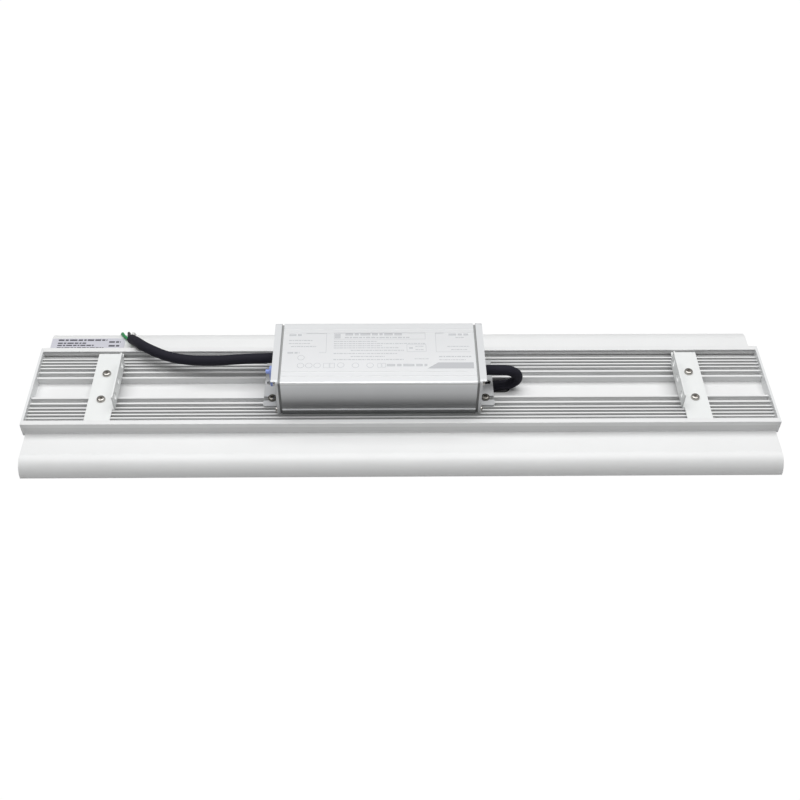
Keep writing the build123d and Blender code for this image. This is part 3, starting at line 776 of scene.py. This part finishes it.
@dataclass
class LedPhosphor(SubAssembly):
    """Round phosphor window in the lower face of every LED package."""

    diameter: float = 2.3
    depth: float = 0.06

    def dress(self) -> None:
        """Adds one disc under each package."""
        for node in ("leds_left", "leds_right"):
            middles = self.package_middles(self.frame["nodes"][node])
            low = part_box(node)[0][2]
            places = [(x, y, low) for x, y in middles]
            size = (self.diameter * MM, self.diameter * MM, self.depth * MM)
            discs = RepeatedPiece(f"{node}_phosphor", Shape.DISC, PHOSPHOR, size)
            self.add(discs.build(self.paint, places), "led_resin")

    @staticmethod
    def package_middles(node: bpy.types.Object) -> list[tuple[float, float]]:
        """Finds the middle of each package in plan.

        Args:
            node: object that holds all packages of one board.

        Returns:
            Middles in metres.
        """
        columns = sorted({round(corner.co.x, 5) for corner in node.data.vertices})
        rows = sorted({round(corner.co.y, 5) for corner in node.data.vertices})
        xs = [(left + right) / 2 for left, right in zip(columns[::2], columns[1::2])]
        ys = [(near + far) / 2 for near, far in zip(rows[::2], rows[1::2])]
        return [(x, y) for x in xs for y in ys]


@dataclass
class InputCable(SubAssembly):
    """Free cable of the driver with its stripped cores.

    A core holds the name of its node, its finish, its angle round the sheath's end in degrees and its points.
    """

    diameter: float = 8.4
    core_diameter: float = 2.5
    core_circle: float = 1.5
    core_lead: float = 4.5
    sheath_length: float = 148.3
    exit_place: Point = (-99.7, 17.725, 37.0)
    route: tuple[Point, ...] = (
        (-95.1, 17.725, 37.0),
        (-118.1, 17.725, 37.0),
        (-158.0, 16.6, 34.2),
        (-188.0, 21.3, 33.0),
        (-210.5, 33.0, 34.0),
        (-221.8, 47.8, 27.0),
        (-228.3, 58.8, 18.9),
    )
    cores: tuple[tuple[str, Finish, float, tuple[Point, ...]], ...] = (
        ("core_black", CORE_BLACK, 0.0, ((-232.7, 67.4, 15.6), (-234.5, 74.4, 12.2), (-235.7, 78.7, 5.2))),
        ("core_white", CORE_WHITE, 120.0, ((-229.7, 67.0, 15.2), (-230.5, 74.3, 12.0), (-230.9, 78.6, 4.8))),
        ("core_green", CORE_GREEN, -120.0, ((-236.9, 66.4, 15.3), (-239.9, 74.0, 12.2), (-242.1, 78.5, 5.0))),
    )
    strand_count: int = 7
    strand_diameter: float = 0.42
    strand_sides: int = 10
    strand_end: float = 0.2
    round_steps: int = 6
    run_steps: int = 12

    def tube(self, name: str, route: list[Vector], diameter: float, finish: Finish) -> bpy.types.Object:
        """Makes a cord as one smooth spline.

        Args:
            name: name of the piece.
            route: control points in millimetres.
            diameter: diameter in millimetres.
            finish: surface of the cord.

        Returns:
            The curve object.
        """
        curve = bpy.data.curves.new(name, "CURVE")
        curve.dimensions = "3D"
        curve.bevel_depth = diameter / 2 * MM
        curve.bevel_resolution = self.round_steps
        curve.resolution_u = self.run_steps
        curve.use_fill_caps = True
        spline = curve.splines.new("NURBS")
        spline.points.add(len(route) - 1)
        for control, place in zip(spline.points, route):
            control.co = (*(place * MM), 1.0)
        spline.order_u = 3
        spline.use_endpoint_u = True
        curve.materials.append(self.paint.of(finish))
        return place_object(name, curve)

    def dress(self) -> None:
        """Adds the sheath, the three cores and the ends of their copper strands."""
        route = [Vector(place) for place in self.route]
        ahead = (route[-1] - route[-2]).normalized()
        up = (Vector((0, 0, 1)) - ahead * ahead.z).normalized()
        aside = ahead.cross(up)
        for name, finish, degrees, run in self.cores:
            angle = math.radians(degrees)
            start = route[-1] + (up * math.cos(angle) + aside * math.sin(angle)) * self.core_circle
            way = [start, start + ahead * self.core_lead, *(Vector(place) for place in run)]
            core = self.tube(f"{name}_wire", way, self.core_diameter, finish)
            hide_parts(name)
            self.add(core, name)
            self.strands(name, way[-2], way[-1])
        sheath = self.tube("input_cable_sheath", route, self.diameter, JACKET)
        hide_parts("input_cable")
        self.add(sheath, "cable_jacket")

    def strands(self, name: str, before: Vector, last: Vector) -> bpy.types.Object:
        """Makes the cut ends of the copper strands in one core.

        Args:
            name: name of the core.
            before: last but one point of its route in millimetres.
            last: end of its route in millimetres.

        Returns:
            The object with all strand ends.
        """
        axis = (last - before).normalized()
        side = axis.cross(Vector((1, 0, 0))).normalized()
        other = axis.cross(side)
        places = [tuple(last * MM)]
        for strand in range(1, self.strand_count):
            angle = 2 * math.pi * strand / (self.strand_count - 1)
            offset = (side * math.cos(angle) + other * math.sin(angle)) * self.strand_diameter
            places.append(tuple((last + offset) * MM))
        size = (self.strand_diameter * MM, self.strand_diameter * MM, self.strand_end * MM)
        ends = RepeatedPiece(
            f"{name}_strands", Shape.DISC, COPPER, size, axis=tuple(axis), sides=self.strand_sides
        )
        return self.add(ends.build(self.paint, places), "solder")


@dataclass(frozen=True)
class Softbox:
    """One rectangular studio light."""

    name: str
    place: Point
    aim: Point
    size: tuple[float, float]
    power: float

    def build(self) -> None:
        """Adds the light to the scene."""
        data = bpy.data.lights.new(self.name, "AREA")
        data.shape = "RECTANGLE"
        data.size, data.size_y = self.size
        data.energy = self.power
        light = place_object(self.name, data)
        towards = Vector(self.aim) - Vector(self.place)
        turn = towards.to_track_quat("-Z", "Y").to_matrix().to_4x4()
        light.matrix_world = Matrix.Translation(self.place) @ turn


@dataclass(frozen=True)
class Studio:
    """Pale floor, white surroundings, soft lights and the camera, in metres and degrees."""

    floor_size: float = 12.0
    floor_drop: float = 0.0004
    floor_grey: float = 0.58
    floor_glow: float = 1.08
    glow_share: float = 0.9
    floor_roughness: tuple[float, float] = (0.90, 0.92)
    cloud_scale: float = 1.5
    room_light: float = 0.26
    camera_place: Point = (-0.0166, -0.6241, 0.6777)
    camera_down: float = 47.13
    camera_turn: float = -1.398
    camera_roll: float = 0.812
    lens: float = 50.0
    sensor: float = 36.0
    lights: tuple[Softbox, ...] = (
        Softbox("overhead", (0.0, 0.28, 1.9), (0.0, 0.0, 0.0), (2.8, 1.6), 40.5),
        Softbox("front_fill", (0.3, -1.9, 1.1), (0.0, 0.0, 0.0), (2.2, 1.2), 0.8),
    )

    def floor_material(self) -> bpy.types.Material:
        """Makes the floor's surface: matt grey for the light, near white for the camera.

        Returns:
            The material.
        """
        material = bpy.data.materials.new("floor")
        material.use_nodes = True
        graph = Graph(material.node_tree)
        place = graph.add("ShaderNodeTexCoord").outputs["Object"]
        clouds = graph.add("ShaderNodeTexNoise", Vector=place, Scale=self.cloud_scale)
        low, high = self.floor_roughness
        dull = graph.add("ShaderNodeMapRange", Value=clouds.outputs["Fac"], To_Min=low, To_Max=high)
        matt = graph.add(
            "ShaderNodeBsdfDiffuse", Color=grey(self.floor_grey), Roughness=dull.outputs["Result"]
        )
        glow = graph.add("ShaderNodeEmission", Color=grey(1.0), Strength=self.floor_glow)
        rays = graph.add("ShaderNodeLightPath")
        seen = graph.add("ShaderNodeMath", operation="MULTIPLY")
        graph.join(rays.outputs["Is Camera Ray"], seen.inputs[0])
        seen.inputs[1].default_value = self.glow_share
        mix = graph.add("ShaderNodeMixShader", Fac=seen.outputs["Value"])
        graph.join(matt.outputs["BSDF"], mix.inputs[1])
        graph.join(glow.outputs["Emission"], mix.inputs[2])
        graph.add("ShaderNodeOutputMaterial", Surface=mix.outputs["Shader"])
        return material

    def floor(self) -> None:
        """Adds the plain floor."""
        half = self.floor_size / 2
        corners = [(-half, -half), (half, -half), (half, half), (-half, half)]
        points = [(x, y, -self.floor_drop) for x, y in corners]
        floor = mesh_piece("floor", points, [(0, 1, 2, 3)])
        floor.data.materials.append(self.floor_material())

    def surroundings(self) -> None:
        """Makes the background white for the camera and softer as a light."""
        world = bpy.data.worlds.new("studio")
        world.use_nodes = True
        bpy.context.scene.world = world
        graph = Graph(world.node_tree)
        rays = graph.add("ShaderNodeLightPath")
        seen = graph.add("ShaderNodeMath", operation="ADD", use_clamp=True)
        graph.join(rays.outputs["Is Camera Ray"], seen.inputs[0])
        graph.join(rays.outputs["Is Transmission Ray"], seen.inputs[1])
        white = graph.add("ShaderNodeBackground", Color=grey(1.0), Strength=1.0)
        soft = graph.add("ShaderNodeBackground", Color=grey(1.0), Strength=self.room_light)
        mix = graph.add("ShaderNodeMixShader", Fac=seen.outputs["Value"])
        graph.join(soft.outputs["Background"], mix.inputs[1])
        graph.join(white.outputs["Background"], mix.inputs[2])
        graph.add("ShaderNodeOutputWorld", Surface=mix.outputs["Shader"])

    def camera(self) -> None:
        """Sets the camera in front of the light and above it, and shows colours as they are."""
        data = bpy.data.cameras.new("photo_camera")
        data.lens = self.lens
        data.sensor_width = self.sensor
        camera = place_object("photo_camera", data)
        turn = Matrix.Rotation(math.radians(self.camera_turn), 4, "Z")
        tilt = Matrix.Rotation(math.radians(90.0 - self.camera_down), 4, "X")
        roll = Matrix.Rotation(math.radians(self.camera_roll), 4, "Z")
        camera.matrix_world = Matrix.Translation(self.camera_place) @ turn @ tilt @ roll
        bpy.context.scene.camera = camera
        bpy.context.scene.view_settings.view_transform = "Standard"

    def build(self) -> None:
        """Adds floor, surroundings, lights and camera."""
        self.floor()
        self.surroundings()
        for light in self.lights:
            light.build()
        self.camera()


def main() -> None:
    """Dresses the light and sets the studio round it."""
    logging.basicConfig(level=logging.INFO, format="%(name)s: %(message)s")
    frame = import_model()
    paint = Paint()
    for part in (SolidParts, WingLabel, DriverPrint, LedPhosphor, InputCable):
        part(frame, paint).dress()
    Studio().build()


if __name__ == "__main__":
    main()
